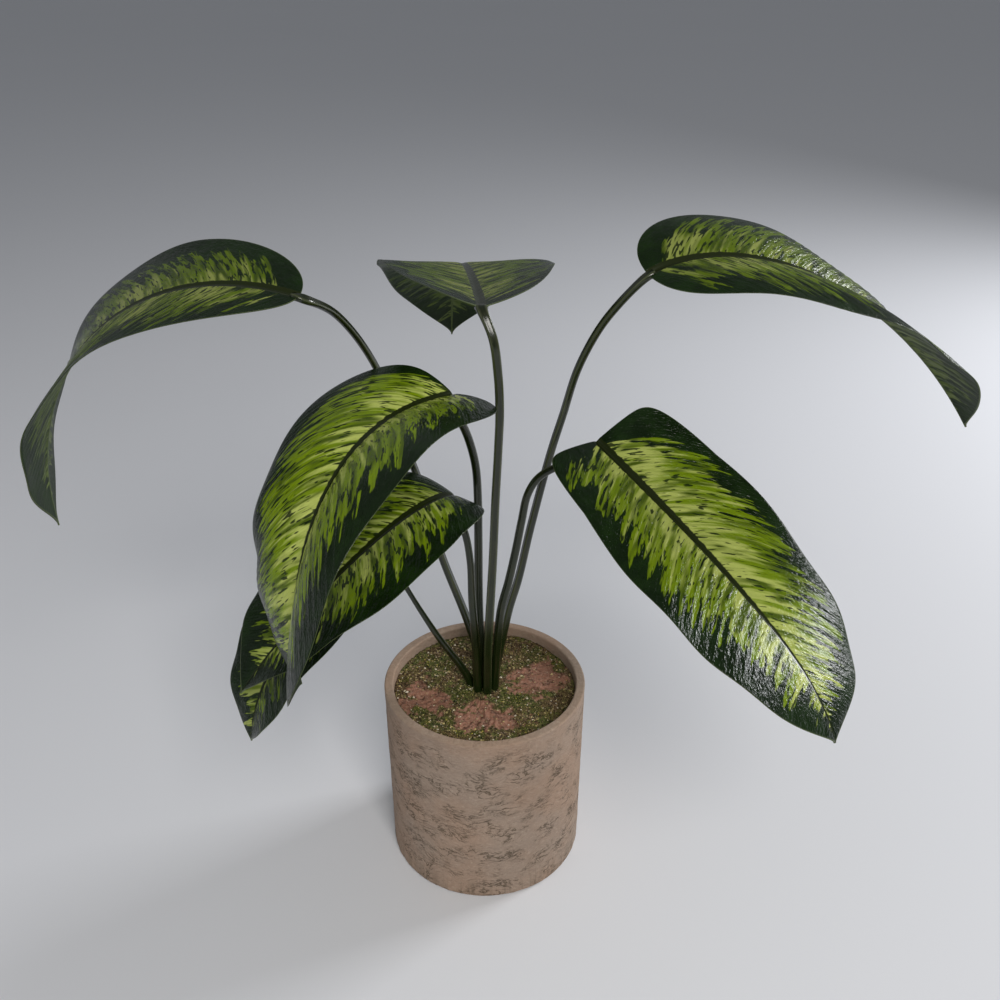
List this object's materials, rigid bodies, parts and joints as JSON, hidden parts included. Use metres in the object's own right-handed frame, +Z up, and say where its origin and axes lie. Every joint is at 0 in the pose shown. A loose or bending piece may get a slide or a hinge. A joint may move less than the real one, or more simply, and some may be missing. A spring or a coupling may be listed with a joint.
{
  "type": "potted dieffenbachia",
  "caption": "Leafy house plant with long arching variegated blades on upright stalks, planted in a round straight-sided stone-look pot filled with soil.",
  "frame": {"origin": "centre of the pot's underside", "axes": "+Z up along the pot's axis; the pictured front of the plant faces -Y and its left side faces -X"},
  "size_m": [0.6717, 0.4282, 0.5171],
  "materials": {
    "pot": "rough, pinkish beige with brown-grey flakes",
    "soil": "crumbly earth with moss",
    "cane": "matte green-brown stem",
    "stalk": "smooth olive green",
    "blade": "satin leaf, lime centre and dark green edge"
  },
  "bodies": {
    "root": {"pot": "pot", "soil": "soil", "cane": "cane", "stalk_left": "stalk", "stalk_back": "stalk", "stalk_right": "stalk", "stalk_front_left": "stalk", "stalk_lower_left": "stalk", "stalk_lowest": "stalk", "stalk_front_right": "stalk", "blade_left": "blade", "blade_back": "blade", "blade_right": "blade", "blade_front_left": "blade", "blade_lower_left": "blade", "blade_lowest": "blade", "blade_front_right": "blade"}
  },
  "joints": []
}
